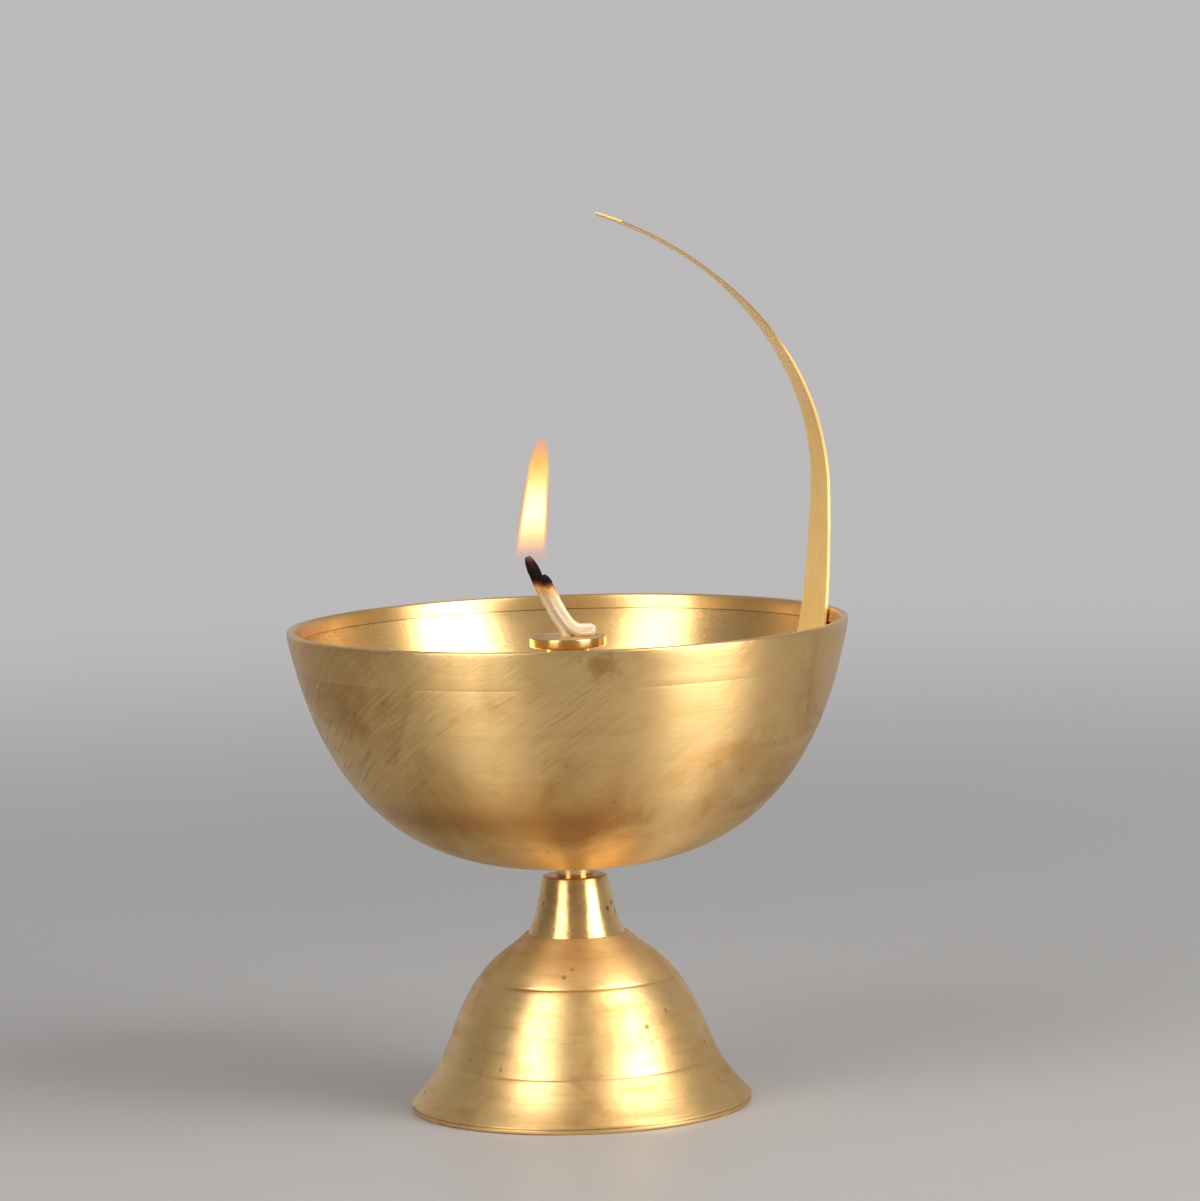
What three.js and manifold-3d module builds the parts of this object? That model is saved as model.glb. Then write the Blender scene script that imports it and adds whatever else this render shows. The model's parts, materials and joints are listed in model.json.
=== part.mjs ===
// A brass oil lamp in millimetres, +Z up. The origin is on the lamp's axis, on the surface it stands on.
// A hollow bell foot carries a turned neck. The oil bowl's stud screws down into the neck. A hollow
// post clamps the bowl on its stud and carries the disc that holds the cotton wick. A tapered strip
// is riveted inside the bowl's wall and arches over the lamp as its handle.

import * as THREE from "three";
import { mergeVertices } from "three/addons/utils/BufferGeometryUtils.js";
import Module from "manifold-3d";

const wasm = await Module();
wasm.setup();

// Clearances
const turnedGap = 0.3;
const headGap = 0.2;
const stripWallGap = 0.2;

// Width of the rings cut round the bell and the bowl
const ringWidth = 0.6;

// Bell foot, from its crown over the shoulder to the waist, then out to the foot's edge. A lean is in
// degrees from the vertical, and a pull is how far a curve keeps its direction at that end.
const bellHeight = 31;
const crownRadius = 9.15;
const crownThickness = 2.6;
const crownLean = 43.2;
const crownPull = 5.1;
const waistRadius = 23.25;
const waistHeight = 12.36;
const waistLean = 19.6;
const waistPullUp = 15.6;
const waistPullDown = 4.6;
const footRadius = 30.45;
const footLean = 46.3;
const footPull = 4.3;
const bellWall = 2.2;
const footEdgeHeight = 1.3;
const footEdgeRound = 0.35;
const footRingWidth = 1.9;
const bellRingHeights = [23.36, 8.65];
const bellRingDepth = 0.25;

// Neck, and the nut on its tenon
const neckLedge = 0.5;
const neckHeight = 10.3;
const neckBaseLean = 26;
const neckBasePull = 3.9;
const neckTopRadius = 5.78;
const neckTopLean = 11;
const neckTopPull = 4.6;
const neckEdgeRound = 0.25;
const tenonRadius = 4.5;
const tenonSpareLength = 1.5;
const nutThickness = 4;
const nutAcrossFlats = 13;

// Stud under the bowl, and the washer that it seats on
const studShankRadius = 2.5;
const studCollarRadius = 3.3;
const studCollarHeight = 1.65;
const studThreadLength = 4.8;
const studBoreSpare = 3.7;
const studTopLength = 3.5;
const washerThickness = 0.4;

// Bowl, from the edge of its flat floor up and out to the rim
const bowlRadius = 50;
const bowlHeight = 43.3;
const rimLean = 10.2;
const rimPull = 41.2;
const floorRadius = 7.5;
const floorLean = 85;
const floorPull = 11;
const bowlWall = 1.2;
const rimBandHeight = 2.5;
const rimBandThickness = 0.25;
const lipRound = 0.35;
const bowlRingDrop = 6.8;
const bowlRingDepth = 0.14;
const sealRadius = 6.8;
const sealThickness = 0.8;

// Wick post and wick disc
const postFlangeInset = 0.3;
const postFlangeThickness = 1.5;
const postWall = 1;
const portWidth = 3;
const portHeight = 6;
const portSill = 1.5;
const discRadius = 6.65;
const discThickness = 1.45;
const discDropBelowRim = 2.6;
const discEdgeRound = 0.25;
const discTubeLength = 10;
const discTubeWall = 1.3;

// Cotton wick of two strands. Route points are x, y and height above a strand that lies on the disc.
const strandRadius = 0.85;
const strandHoleClearance = 0.35;
const strandFootGap = 2.5;
const wickRoute = [
  [0, 0, -2.5],
  [-0.1, 0, -0.9],
  [-0.65, 0, 0.5],
  [-1.75, 0, 2.2],
  [-3.4, 0, 5.5],
  [-4.65, 0, 8.2],
  [-5.55, 0, 10.4],
  [-6.7, 0, 13.2],
];
const sideStrandRoute = [
  [5.0, -1.0, 0],
  [3.4, -1.15, 0],
  [1.9, -1.25, 0.1],
  [0.85, -1.3, 0.9],
  [-0.25, -1.3, 2.6],
  [-1.5, -1.25, 5.2],
  [-2.85, -1.15, 8.0],
  [-3.7, -1.1, 9.9],
];

// Handle strip. Its root follows the wall, up to a point measured along the wall down from the rim.
// From that point it rises through its middle to its tip, with a lean towards the axis.
const handleAzimuth = 20;
const handleThickness = 0.6;
const handleLeavesWallAt = 11.5;
const handleLeavePull = 3;
const handleRootLength = 12.2;
const handleMiddleRise = 31.4;
const handleMiddleOut = 4.2;
const handleMiddleLean = -2.5;
const handleMiddlePull = 23.9;
const handleRise = 82.9;
const handleReach = 37.6;
const handleTipLean = 71.9;
const handleTipPull = 25.3;
const handleRootWidth = 14.2;
const handleTaper = 0.1425;
const handleTipWidth = 1.3;
const handleTipFlat = 0.4;
const rivetRadius = 1;
const rivetHeadRadius = 1.9;
const rivetHeadHeight = 0.9;
const rivetDistances = [3, 9.2];
const rivetDrillSpare = 1.5;

// Facets
const wideSegments = 56;
const narrowSegments = 32;
const bowlStep = 5.2;
const bellStep = 3.4;
const neckStep = 2;
const handleStep = 3;
const fineStep = 0.5;
const cornerSteps = 3;
const domeSteps = 4;
const strandSides = 12;
const strandStep = 1.2;

const finishes = {
  satinBrass: { color: 0xc9a05a, roughness: 0.42, metalness: 1 },
  turnedBrass: { color: 0xc9a05e, roughness: 0.34, metalness: 1 },
  polishedBrass: { color: 0xd8ab5c, roughness: 0.16, metalness: 1 },
  sheetBrass: { color: 0xd6b062, roughness: 0.34, metalness: 1 },
  sealFibre: { color: 0x5a3a28, roughness: 0.85, metalness: 0 },
  cotton: { color: 0xefe2c8, roughness: 0.95, metalness: 0 },
};

const radians = THREE.MathUtils.degToRad;
const degrees = THREE.MathUtils.radToDeg;

// A line of { radius, height, lean } points, curving between two ends that each have a pull as well.
// side is 1 where a positive lean widens the line, and rise is 1 where it climbs.
function curvedLine(start, end, side, rise, step) {
  const heading = ({ lean }) => {
    const angle = radians(lean);
    return new THREE.Vector2(side * Math.sin(angle), rise * Math.cos(angle));
  };
  const from = new THREE.Vector2(start.radius, start.height);
  const to = new THREE.Vector2(end.radius, end.height);
  const afterStart = from.clone().addScaledVector(heading(start), start.pull);
  const beforeEnd = to.clone().addScaledVector(heading(end), -end.pull);
  const curve = new THREE.CubicBezierCurve(from, afterStart, beforeEnd, to);
  const count = Math.ceil(curve.getLength() / step);
  const line = [];
  for (let i = 0; i <= count; i += 1) {
    const { x, y } = curve.getPointAt(i / count);
    const along = curve.getTangentAt(i / count);
    line.push({ radius: x, height: y, lean: degrees(Math.atan2(side * along.x, rise * along.y)) });
  }
  return line;
}

// The distance of each point of a line from its start
function distancesAlong(line) {
  const distances = [0];
  for (let i = 1; i < line.length; i += 1) {
    const [a, b] = [line[i - 1], line[i]];
    distances.push(distances[i - 1] + Math.hypot(b.radius - a.radius, b.height - a.height));
  }
  return distances;
}

// The point of a line at a distance from its start
function pointAlong(line, distance) {
  const distances = distancesAlong(line);
  let i = 1;
  while (i < line.length - 1 && distances[i] < distance) i += 1;
  const share = (distance - distances[i - 1]) / (distances[i] - distances[i - 1]);
  const between = (key) => line[i - 1][key] + share * (line[i][key] - line[i - 1][key]);
  return { radius: between("radius"), height: between("height"), lean: between("lean") };
}

// The line at a distance outside it, or inside it where the distance is negative
function offsetLine(line, distance, side, rise) {
  return line.map(({ radius, height, lean }) => ({
    radius: radius + distance * Math.cos(radians(lean)),
    height: height - side * rise * distance * Math.sin(radians(lean)),
    lean,
  }));
}

// The radius of a line at a height
function radiusAt(line, height) {
  for (let i = 1; i < line.length; i += 1) {
    const [a, b] = [line[i - 1], line[i]];
    if ((a.height - height) * (b.height - height) <= 0) {
      return a.radius + (b.radius - a.radius) * (height - a.height) / (b.height - a.height);
    }
  }
  return line[line.length - 1].radius;
}

const corners = (line) => line.map(({ radius, height }) => [radius, height]);

// A line that runs down, with a V-shaped ring cut into its outside at a height
function cutRing(points, line, height, depth) {
  const top = height + ringWidth / 2;
  const bottom = height - ringWidth / 2;
  const above = points.filter(([, z]) => z > top);
  const below = points.filter(([, z]) => z < bottom);
  const middle = [
    [radiusAt(line, top), top],
    [radiusAt(line, height) - depth, height],
    [radiusAt(line, bottom), bottom],
  ];
  return [...above, ...middle, ...below];
}

// The points that round a corner between its two neighbours
function roundCorner(before, corner, after, size) {
  const at = new THREE.Vector2(...corner);
  const u = new THREE.Vector2(...before).sub(at).normalize();
  const v = new THREE.Vector2(...after).sub(at).normalize();
  const half = Math.acos(THREE.MathUtils.clamp(u.dot(v), -1, 1)) / 2;
  const reach = size / Math.tan(half);
  const start = at.clone().addScaledVector(u, reach);
  const end = at.clone().addScaledVector(v, reach);
  const centre = at.clone().add(u.clone().add(v).normalize().multiplyScalar(size / Math.sin(half)));
  const from = start.clone().sub(centre);
  const to = end.clone().sub(centre);
  const sweep = Math.atan2(from.cross(to), from.dot(to));
  const points = [];
  for (let i = 0; i <= cornerSteps; i += 1) {
    const spoke = from.clone().rotateAround(new THREE.Vector2(), sweep * i / cornerSteps);
    points.push([centre.x + spoke.x, centre.y + spoke.y]);
  }
  return points;
}

// One closed body with shared corners, no empty triangles and its faces pointing out
function closedBody(geometry) {
  geometry.deleteAttribute("normal");
  geometry.deleteAttribute("uv");
  const merged = mergeVertices(geometry, 1e-4);
  const index = merged.index.array;
  const triangles = [];
  for (let i = 0; i < index.length; i += 3) {
    const [a, b, c] = [index[i], index[i + 1], index[i + 2]];
    if (a !== b && b !== c && c !== a) triangles.push([a, b, c]);
  }
  const corner = (i) => new THREE.Vector3().fromBufferAttribute(merged.attributes.position, i);
  let volume = 0;
  for (const [a, b, c] of triangles) volume += corner(a).dot(corner(b).cross(corner(c)));
  const facing = triangles.map(([a, b, c]) => (volume > 0 ? [a, b, c] : [a, c, b]));
  merged.setIndex(facing.flat());
  merged.computeVertexNormals();
  return merged;
}

// A body of revolution about +Z from a profile of [radius, height] points
function turned(profile, segments) {
  const points = profile.map(([radius, height]) => new THREE.Vector2(radius, height));
  const geometry = new THREE.LatheGeometry(points, segments);
  geometry.rotateX(Math.PI / 2);
  return closedBody(geometry);
}

const ring = (inner, outer, bottom, top) => [
  [inner, bottom], [outer, bottom], [outer, top], [inner, top], [inner, bottom],
];

function toSolid(geometry) {
  const body = closedBody(geometry.clone());
  return new wasm.Manifold(new wasm.Mesh({
    numProp: 3,
    vertProperties: new Float32Array(body.attributes.position.array),
    triVerts: new Uint32Array(body.index.array),
  }));
}

function cutAway(geometry, cutters) {
  let solid = toSolid(geometry);
  for (const cutter of cutters) solid = solid.subtract(toSolid(cutter));
  const mesh = solid.getMesh();
  const result = new THREE.BufferGeometry();
  result.setAttribute("position", new THREE.BufferAttribute(new Float32Array(mesh.vertProperties), 3));
  result.setIndex(Array.from(mesh.triVerts));
  return closedBody(result);
}

const lamp = new THREE.Group();

function addPiece(name, geometry, finish, parent = lamp) {
  const mesh = new THREE.Mesh(geometry, new THREE.MeshStandardMaterial(finishes[finish]));
  mesh.name = name;
  parent.add(mesh);
}

// Heights that the pieces share, from the foot up
const crownUnderside = bellHeight - crownThickness;
const neckTop = bellHeight + neckHeight;
const collarBottom = neckTop + washerThickness;
const floorUnderside = collarBottom + studCollarHeight;
const floorTop = floorUnderside + bowlWall;
const flangeBottom = floorTop + sealThickness;
const flangeTop = flangeBottom + postFlangeThickness;
const studTop = flangeTop + studTopLength;
const shankHoleRadius = studShankRadius + turnedGap;

const crown = { radius: crownRadius, height: bellHeight, lean: crownLean, pull: crownPull };
const waist = { radius: waistRadius, height: waistHeight, lean: waistLean };
const foot = { radius: footRadius, height: footEdgeHeight, lean: footLean, pull: footPull };
const bellLine = [
  ...curvedLine(crown, { ...waist, pull: waistPullUp }, 1, -1, bellStep),
  ...curvedLine({ ...waist, pull: waistPullDown }, foot, 1, -1, bellStep).slice(1),
];
const floorEdge = { radius: floorRadius, height: floorUnderside, lean: floorLean, pull: floorPull };
const rim = { radius: bowlRadius, height: floorUnderside + bowlHeight, lean: rimLean, pull: rimPull };
const bowlLine = curvedLine(floorEdge, rim, 1, 1, bowlStep);
const discTop = rim.height - discDropBelowRim;
const discBottom = discTop - discThickness;

function footBell() {
  let outside = corners(bellLine);
  for (const height of bellRingHeights) {
    outside = cutRing(outside, bellLine, height, bellRingDepth);
  }
  const innerFoot = foot.radius - footEdgeRound - footRingWidth;
  const insideLine = offsetLine(bellLine, -bellWall, 1, -1);
  const inside = corners(insideLine).filter(([r, z]) => z < crownUnderside && r < innerFoot && z > 0);
  const crownInnerRadius = radiusAt(insideLine, crownUnderside);
  const holeRadius = tenonRadius + turnedGap;
  const profile = [
    [holeRadius, bellHeight],
    ...outside,
    ...roundCorner([foot.radius, foot.height], [foot.radius, 0], [innerFoot, 0], footEdgeRound),
    [innerFoot, 0],
    [innerFoot, footEdgeRound],
    ...inside.reverse(),
    [crownInnerRadius, crownUnderside],
    [holeRadius, crownUnderside],
    [holeRadius, bellHeight],
  ];
  return turned(profile, wideSegments);
}

function neckCollar() {
  const baseRadius = crownRadius - neckLedge;
  const base = { radius: baseRadius, height: bellHeight, lean: neckBaseLean, pull: neckBasePull };
  const top = { radius: neckTopRadius, height: neckTop, lean: neckTopLean, pull: neckTopPull };
  const outside = corners(curvedLine(base, top, -1, 1, neckStep));
  const tenonBottom = crownUnderside - nutThickness - tenonSpareLength;
  const boreBottom = neckTop - studThreadLength - studBoreSpare;
  const profile = [
    [0, tenonBottom],
    [tenonRadius, tenonBottom],
    [tenonRadius, bellHeight],
    ...outside.slice(0, -1),
    ...roundCorner(outside.at(-2), outside.at(-1), [shankHoleRadius, neckTop], neckEdgeRound),
    [shankHoleRadius, neckTop],
    [shankHoleRadius, boreBottom],
    [0, boreBottom],
  ];
  return turned(profile, narrowSegments);
}

function footNut() {
  const hexagon = new THREE.Shape();
  const cornerRadius = nutAcrossFlats / 2 / Math.cos(Math.PI / 6);
  for (let i = 0; i < 6; i += 1) {
    const angle = i * Math.PI / 3;
    const point = [cornerRadius * Math.cos(angle), cornerRadius * Math.sin(angle)];
    if (i === 0) hexagon.moveTo(...point);
    else hexagon.lineTo(...point);
  }
  hexagon.closePath();
  const hole = new THREE.Path();
  hole.absarc(0, 0, tenonRadius + turnedGap, 0, 2 * Math.PI, true);
  hexagon.holes.push(hole);
  const options = { depth: nutThickness, bevelEnabled: false, curveSegments: narrowSegments / 2 };
  const geometry = new THREE.ExtrudeGeometry(hexagon, options);
  geometry.translate(0, 0, crownUnderside - nutThickness);
  return closedBody(geometry);
}

function seatWasher() {
  return turned(ring(shankHoleRadius, studCollarRadius, neckTop, collarBottom), narrowSegments);
}

function bowlStud() {
  const profile = [
    [0, neckTop - studThreadLength],
    [studShankRadius, neckTop - studThreadLength],
    [studShankRadius, collarBottom],
    [studCollarRadius, collarBottom],
    [studCollarRadius, floorUnderside],
    [studShankRadius, floorUnderside],
    [studShankRadius, studTop],
    [0, studTop],
  ];
  return turned(profile, narrowSegments);
}

function floorSeal() {
  return turned(ring(shankHoleRadius, sealRadius, floorTop, flangeBottom), narrowSegments);
}

// Hollow post: its flange clamps the bowl's floor on the stud, and its two ports let the oil in
function wickPost() {
  const tubeRadius = shankHoleRadius + postWall;
  const flangeRadius = sealRadius - postFlangeInset;
  const profile = [
    [shankHoleRadius, flangeBottom],
    [flangeRadius, flangeBottom],
    [flangeRadius, flangeTop],
    [tubeRadius, flangeTop],
    [tubeRadius, discBottom],
    [shankHoleRadius, discBottom],
    [shankHoleRadius, flangeBottom],
  ];
  const ports = new THREE.BoxGeometry(4 * tubeRadius, portWidth, portHeight);
  ports.translate(0, 0, studTop + portSill + portHeight / 2);
  return cutAway(turned(profile, narrowSegments), [ports]);
}

function wickDisc() {
  const holeRadius = strandRadius + strandHoleClearance;
  const tubeRadius = Math.min(holeRadius + discTubeWall, shankHoleRadius - turnedGap);
  const tubeBottom = discBottom - discTubeLength;
  const [below, above] = [[discRadius, discBottom], [discRadius, discTop]];
  const profile = [
    [holeRadius, tubeBottom],
    [tubeRadius, tubeBottom],
    [tubeRadius, discBottom],
    ...roundCorner([tubeRadius, discBottom], below, above, discEdgeRound),
    ...roundCorner(below, above, [holeRadius, discTop], discEdgeRound),
    [holeRadius, discTop],
    [holeRadius, tubeBottom],
  ];
  return turned(profile, narrowSegments);
}

// A round strand along a smooth route
function strand(routePoints) {
  const points = routePoints.map((point) => new THREE.Vector3(...point));
  const route = new THREE.CatmullRomCurve3(points, false, "centripetal");
  const section = new THREE.Shape();
  section.absarc(0, 0, strandRadius, 0, 2 * Math.PI, false);
  const steps = Math.round(route.getLength() / strandStep);
  const options = { steps, extrudePath: route, curveSegments: strandSides / 2, bevelEnabled: false };
  return closedBody(new THREE.ExtrudeGeometry(section, options));
}

function onDisc([x, y, z]) {
  return [x, y, discTop + turnedGap + strandRadius + z];
}

function wickStrand() {
  const foot = [0, 0, studTop + strandFootGap];
  const lower = [0, 0, discBottom - discTubeLength];
  return strand([foot, lower, ...wickRoute.map(onDisc)]);
}

function wickSideStrand() {
  return strand(sideStrandRoute.map(onDisc));
}

// The handle's line in its own upright plane, as close points from the end of its root to its tip
const stripStandOff = stripWallGap + handleThickness / 2
  + (handleRootWidth / 2) ** 2 / (2 * (bowlRadius - bowlWall));
const wallDown = curvedLine(floorEdge, rim, 1, 1, fineStep).reverse();
const besideWall = offsetLine(wallDown, -bowlWall - stripStandOff, 1, 1)
  .map(({ radius, height, lean }) => ({ radius, height, lean: -lean }));
const rootDistances = [];
for (let d = handleRootLength; d >= 0; d -= fineStep) rootDistances.push(handleLeavesWallAt + d);
const leavePoint = { ...pointAlong(besideWall, handleLeavesWallAt), pull: handleLeavePull };
const handleMiddle = {
  radius: leavePoint.radius + handleMiddleOut,
  height: leavePoint.height + handleMiddleRise,
  lean: handleMiddleLean,
  pull: handleMiddlePull,
};
const handleTip = {
  radius: leavePoint.radius - handleReach,
  height: leavePoint.height + handleRise,
  lean: handleTipLean,
  pull: handleTipPull,
};
const handleCentre = [
  ...rootDistances.map((distance) => pointAlong(besideWall, distance)),
  ...curvedLine(leavePoint, handleMiddle, -1, 1, fineStep),
  ...curvedLine(handleMiddle, handleTip, -1, 1, fineStep).slice(1),
];
const handleLength = distancesAlong(handleCentre).at(-1);

// The strip tapers to its tip, whose end is rounded
function stripWidth(distance) {
  const tapered = Math.max(handleTipWidth, handleRootWidth - handleTaper * distance);
  const pastTipCentre = distance - (handleLength - handleTipWidth / 2);
  if (pastTipCentre <= 0) return tapered;
  const rounded = 2 * Math.sqrt(Math.max(0, (handleTipWidth / 2) ** 2 - pastTipCentre ** 2));
  return Math.max(rounded, handleTipFlat);
}

// A strip of tapering width, swept along the handle's line
function stripGeometry() {
  const tipStart = handleLength - handleTipWidth / 2;
  const bodySteps = Math.ceil(tipStart / handleStep);
  const distances = [];
  for (let i = 0; i < bodySteps; i += 1) distances.push(tipStart * i / bodySteps);
  for (let i = 0; i <= cornerSteps; i += 1) distances.push(tipStart + handleTipWidth / 2 * i / cornerSteps);
  const handleLine = distances.map((distance) => pointAlong(handleCentre, distance));
  const outer = offsetLine(handleLine, handleThickness / 2, -1, 1);
  const inner = offsetLine(handleLine, -handleThickness / 2, -1, 1);
  const positions = [];
  handleLine.forEach((_, i) => {
    const width = stripWidth(distances[i]);
    for (const [line, y] of [[outer, -1], [outer, 1], [inner, 1], [inner, -1]]) {
      positions.push(line[i].radius, y * width / 2, line[i].height);
    }
  });
  const triangles = [0, 1, 2, 0, 2, 3];
  const last = 4 * (handleLine.length - 1);
  triangles.push(last, last + 2, last + 1, last, last + 3, last + 2);
  for (let i = 0; i < handleLine.length - 1; i += 1) {
    for (let side = 0; side < 4; side += 1) {
      const [a, b] = [4 * i + side, 4 * i + (side + 1) % 4];
      triangles.push(a, a + 4, b, b, a + 4, b + 4);
    }
  }
  const geometry = new THREE.BufferGeometry();
  geometry.setAttribute("position", new THREE.Float32BufferAttribute(positions, 3));
  geometry.setIndex(triangles);
  return geometry;
}

// Each rivet's place in the handle's plane, with its own X along the wall's outward normal
const rivetPlaces = rivetDistances.map((distance) => {
  const { radius, height, lean } = pointAlong(handleCentre, distance);
  const place = new THREE.Matrix4().makeRotationY(-radians(lean));
  return place.setPosition(radius, 0, height);
});

function rivetGeometry() {
  const wallOuter = stripStandOff + bowlWall;
  const innerSeat = -handleThickness / 2 - headGap;
  const outerSeat = wallOuter + headGap;
  const dome = (seat, direction) => {
    const points = [];
    for (let i = 0; i <= domeSteps; i += 1) {
      const angle = i / domeSteps * Math.PI / 2;
      points.push([rivetHeadRadius * Math.cos(angle), seat + direction * rivetHeadHeight * Math.sin(angle)]);
    }
    points[domeSteps][0] = 0;
    return points;
  };
  const profile = [
    ...dome(innerSeat, -1).reverse(),
    [rivetRadius, innerSeat],
    [rivetRadius, outerSeat],
    ...dome(outerSeat, 1),
  ];
  const points = profile.map(([radius, along]) => new THREE.Vector2(radius, along));
  const geometry = new THREE.LatheGeometry(points, narrowSegments / 2);
  geometry.rotateZ(-Math.PI / 2);
  return closedBody(geometry);
}

// A drill through the strip and the wall for each rivet
function rivetDrills(turn) {
  const radius = rivetRadius + turnedGap;
  const length = 2 * (stripStandOff + bowlWall + rivetDrillSpare);
  return rivetPlaces.map((place) => {
    const drill = new THREE.CylinderGeometry(radius, radius, length, narrowSegments / 2);
    drill.rotateZ(-Math.PI / 2);
    drill.applyMatrix4(place);
    drill.rotateZ(turn);
    return drill;
  });
}

function bowl() {
  const insideLine = offsetLine(bowlLine, -bowlWall, 1, 1);
  const bandLine = offsetLine(bowlLine, -bowlWall - rimBandThickness, 1, 1);
  const ledge = rim.height - rimBandHeight;
  const ringHeight = rim.height - bowlRingDrop;
  const outsideDown = corners(bowlLine.slice(0, -1)).reverse();
  const outside = cutRing(outsideDown, bowlLine, ringHeight, bowlRingDepth).reverse();
  const outerLip = [rim.radius, rim.height];
  const innerLip = [radiusAt(bandLine, rim.height), rim.height];
  const below = bowlLine.at(-2);
  const bandBottom = [radiusAt(bandLine, ledge), ledge];
  const profile = [
    [shankHoleRadius, floorUnderside],
    ...outside,
    ...roundCorner([below.radius, below.height], outerLip, innerLip, lipRound),
    ...roundCorner(outerLip, innerLip, bandBottom, lipRound),
    bandBottom,
    [radiusAt(insideLine, ledge), ledge],
    ...corners(insideLine).filter(([, z]) => z < ledge && z > floorTop).reverse(),
    [floorRadius, floorTop],
    [shankHoleRadius, floorTop],
    [shankHoleRadius, floorUnderside],
  ];
  return cutAway(turned(profile, wideSegments), rivetDrills(radians(handleAzimuth)));
}

addPiece("foot_bell", footBell(), "turnedBrass");
addPiece("neck_collar", neckCollar(), "polishedBrass");
addPiece("foot_nut", footNut(), "satinBrass");
addPiece("seat_washer", seatWasher(), "polishedBrass");
addPiece("bowl_stud", bowlStud(), "polishedBrass");
addPiece("bowl", bowl(), "satinBrass");
addPiece("floor_seal", floorSeal(), "sealFibre");
addPiece("wick_post", wickPost(), "polishedBrass");
addPiece("wick_disc", wickDisc(), "polishedBrass");
addPiece("wick_strand", wickStrand(), "cotton");
addPiece("wick_side_strand", wickSideStrand(), "cotton");

const handle = new THREE.Group();
handle.rotation.z = radians(handleAzimuth);
lamp.add(handle);
addPiece("handle_blade", cutAway(stripGeometry(), rivetDrills(0)), "sheetBrass", handle);
rivetPlaces.forEach((place, i) => {
  const rivet = rivetGeometry();
  rivet.applyMatrix4(place);
  addPiece(`handle_rivet_${i + 1}`, rivet, "polishedBrass", handle);
});

export default lamp;
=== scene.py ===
"""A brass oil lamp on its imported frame, with its fine surfaces, its finishes, its wick and its flame.

Metres, +Z up. Azimuths are round the lamp's axis, from +X towards +Y.
"""

import json
import math

import bmesh
import bpy
import numpy as np
from mathutils import Matrix, Vector, noise


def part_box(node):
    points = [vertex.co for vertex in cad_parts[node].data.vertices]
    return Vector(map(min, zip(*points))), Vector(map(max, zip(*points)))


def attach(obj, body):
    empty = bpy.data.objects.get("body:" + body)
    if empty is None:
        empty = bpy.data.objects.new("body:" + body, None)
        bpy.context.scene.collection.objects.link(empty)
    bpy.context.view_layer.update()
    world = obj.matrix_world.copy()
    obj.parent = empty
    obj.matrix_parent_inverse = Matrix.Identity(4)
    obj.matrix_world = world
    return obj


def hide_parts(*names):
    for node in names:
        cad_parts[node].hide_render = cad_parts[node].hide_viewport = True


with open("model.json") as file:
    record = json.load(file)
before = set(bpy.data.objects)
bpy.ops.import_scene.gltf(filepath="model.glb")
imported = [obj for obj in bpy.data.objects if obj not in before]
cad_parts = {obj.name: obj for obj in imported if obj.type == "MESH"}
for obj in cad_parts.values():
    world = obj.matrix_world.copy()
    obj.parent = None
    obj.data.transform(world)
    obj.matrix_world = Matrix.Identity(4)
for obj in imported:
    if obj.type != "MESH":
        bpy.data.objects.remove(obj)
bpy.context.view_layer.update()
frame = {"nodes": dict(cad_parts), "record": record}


def rgb(r, g, b):
    """A colour written as a screen shows it, 0 to 255, as linear light."""
    return tuple((c / 255) ** 2.2 for c in (r, g, b)) + (1.0,)


MM = 0.001
UP = Vector((0, 0, 1))
BODY_OF = {n: body for body, members in frame["record"]["behaviour"]["bodies"].items() for n in members}

# The camera, in metres and degrees, and its focal length for a frame 36 mm wide
CAMERA_PLACE = (0.0, -1.0, 0.1895)
CAMERA_PITCH = -5.67
CAMERA_YAW = 0.34
CAMERA_ROLL = -1.7
CAMERA_LENS = 169.8
CAMERA_FRAME = 36
CAMERA_NEAR = 0.05
CAMERA_FAR = 100

# The fine surfaces' facets, and the angle from which an edge stays sharp
TURNED_SEGMENTS = 192
SMOOTH_STEPS = 4
SHARP_ANGLE = math.radians(33)
EASED_SEGMENTS = 2
# Lengths that count as nothing, and the decimals to which two corners are the same
ON_AXIS = 1e-6
NO_LENGTH = 1e-7
LEAST_SPAN = 1e-9
PROFILE_DECIMALS = 5
ANGLE_DECIMALS = 2
SKIN_DECIMALS = 6

# The bowl, its rim band, the ring round its outside, a darker brown band round its middle and the stain below
# its rim
RIM_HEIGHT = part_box("bowl")[1].z
RIM_BAND = 0.0026
RIM_FACES_UP = 0.3
BOWL_RING_EDGES = (0.0797, 0.0800)
BOWL_TURNED_BELOW = (0.050, 0.058)
BOWL_DARK_BAND_HEIGHT = 0.0555
BOWL_DARK_BAND_REACH = 0.0045
BOWL_ROUGHNESS = (0.37, 0.47)
BOWL_ANISOTROPY = 0.87
STAIN_PLACE = (0.0062, -0.0496, 0.0840)
STAIN_SIZE = 0.0040
STAIN_RAGGED = STAIN_SIZE * 2.2
STAIN_HEART = STAIN_SIZE * 0.1

# A scored ring is a single point whose neighbours are this near. The shares are how far it is drawn out.
RING_WIDTH = 0.001
BOWL_RING_SOFTENING = 0.75
BELL_RING_SOFTENING = 0.55

# The bell's bead and the height above which it is duller
FOOT_BEAD = 0.0009
BELL_DULL_ABOVE = 0.0225
DULL_FADE = 0.003
DULL_ROUGHER = 0.14

# How much wider, and lower underneath, the disc's flange is than its solid. The shares of its reach tell the
# flange and its edge from the sleeve.
DISC_FLANGE = (0.00015, 0.0003)
FLANGE_SHARE = 0.5
FLANGE_EDGE_SHARE = 0.9
DISC_FACES_UP = 0.9

# How far the edges of the nut and of the wick post are eased
NUT_EASED = 0.00015
POST_EASED = 0.00008

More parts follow.
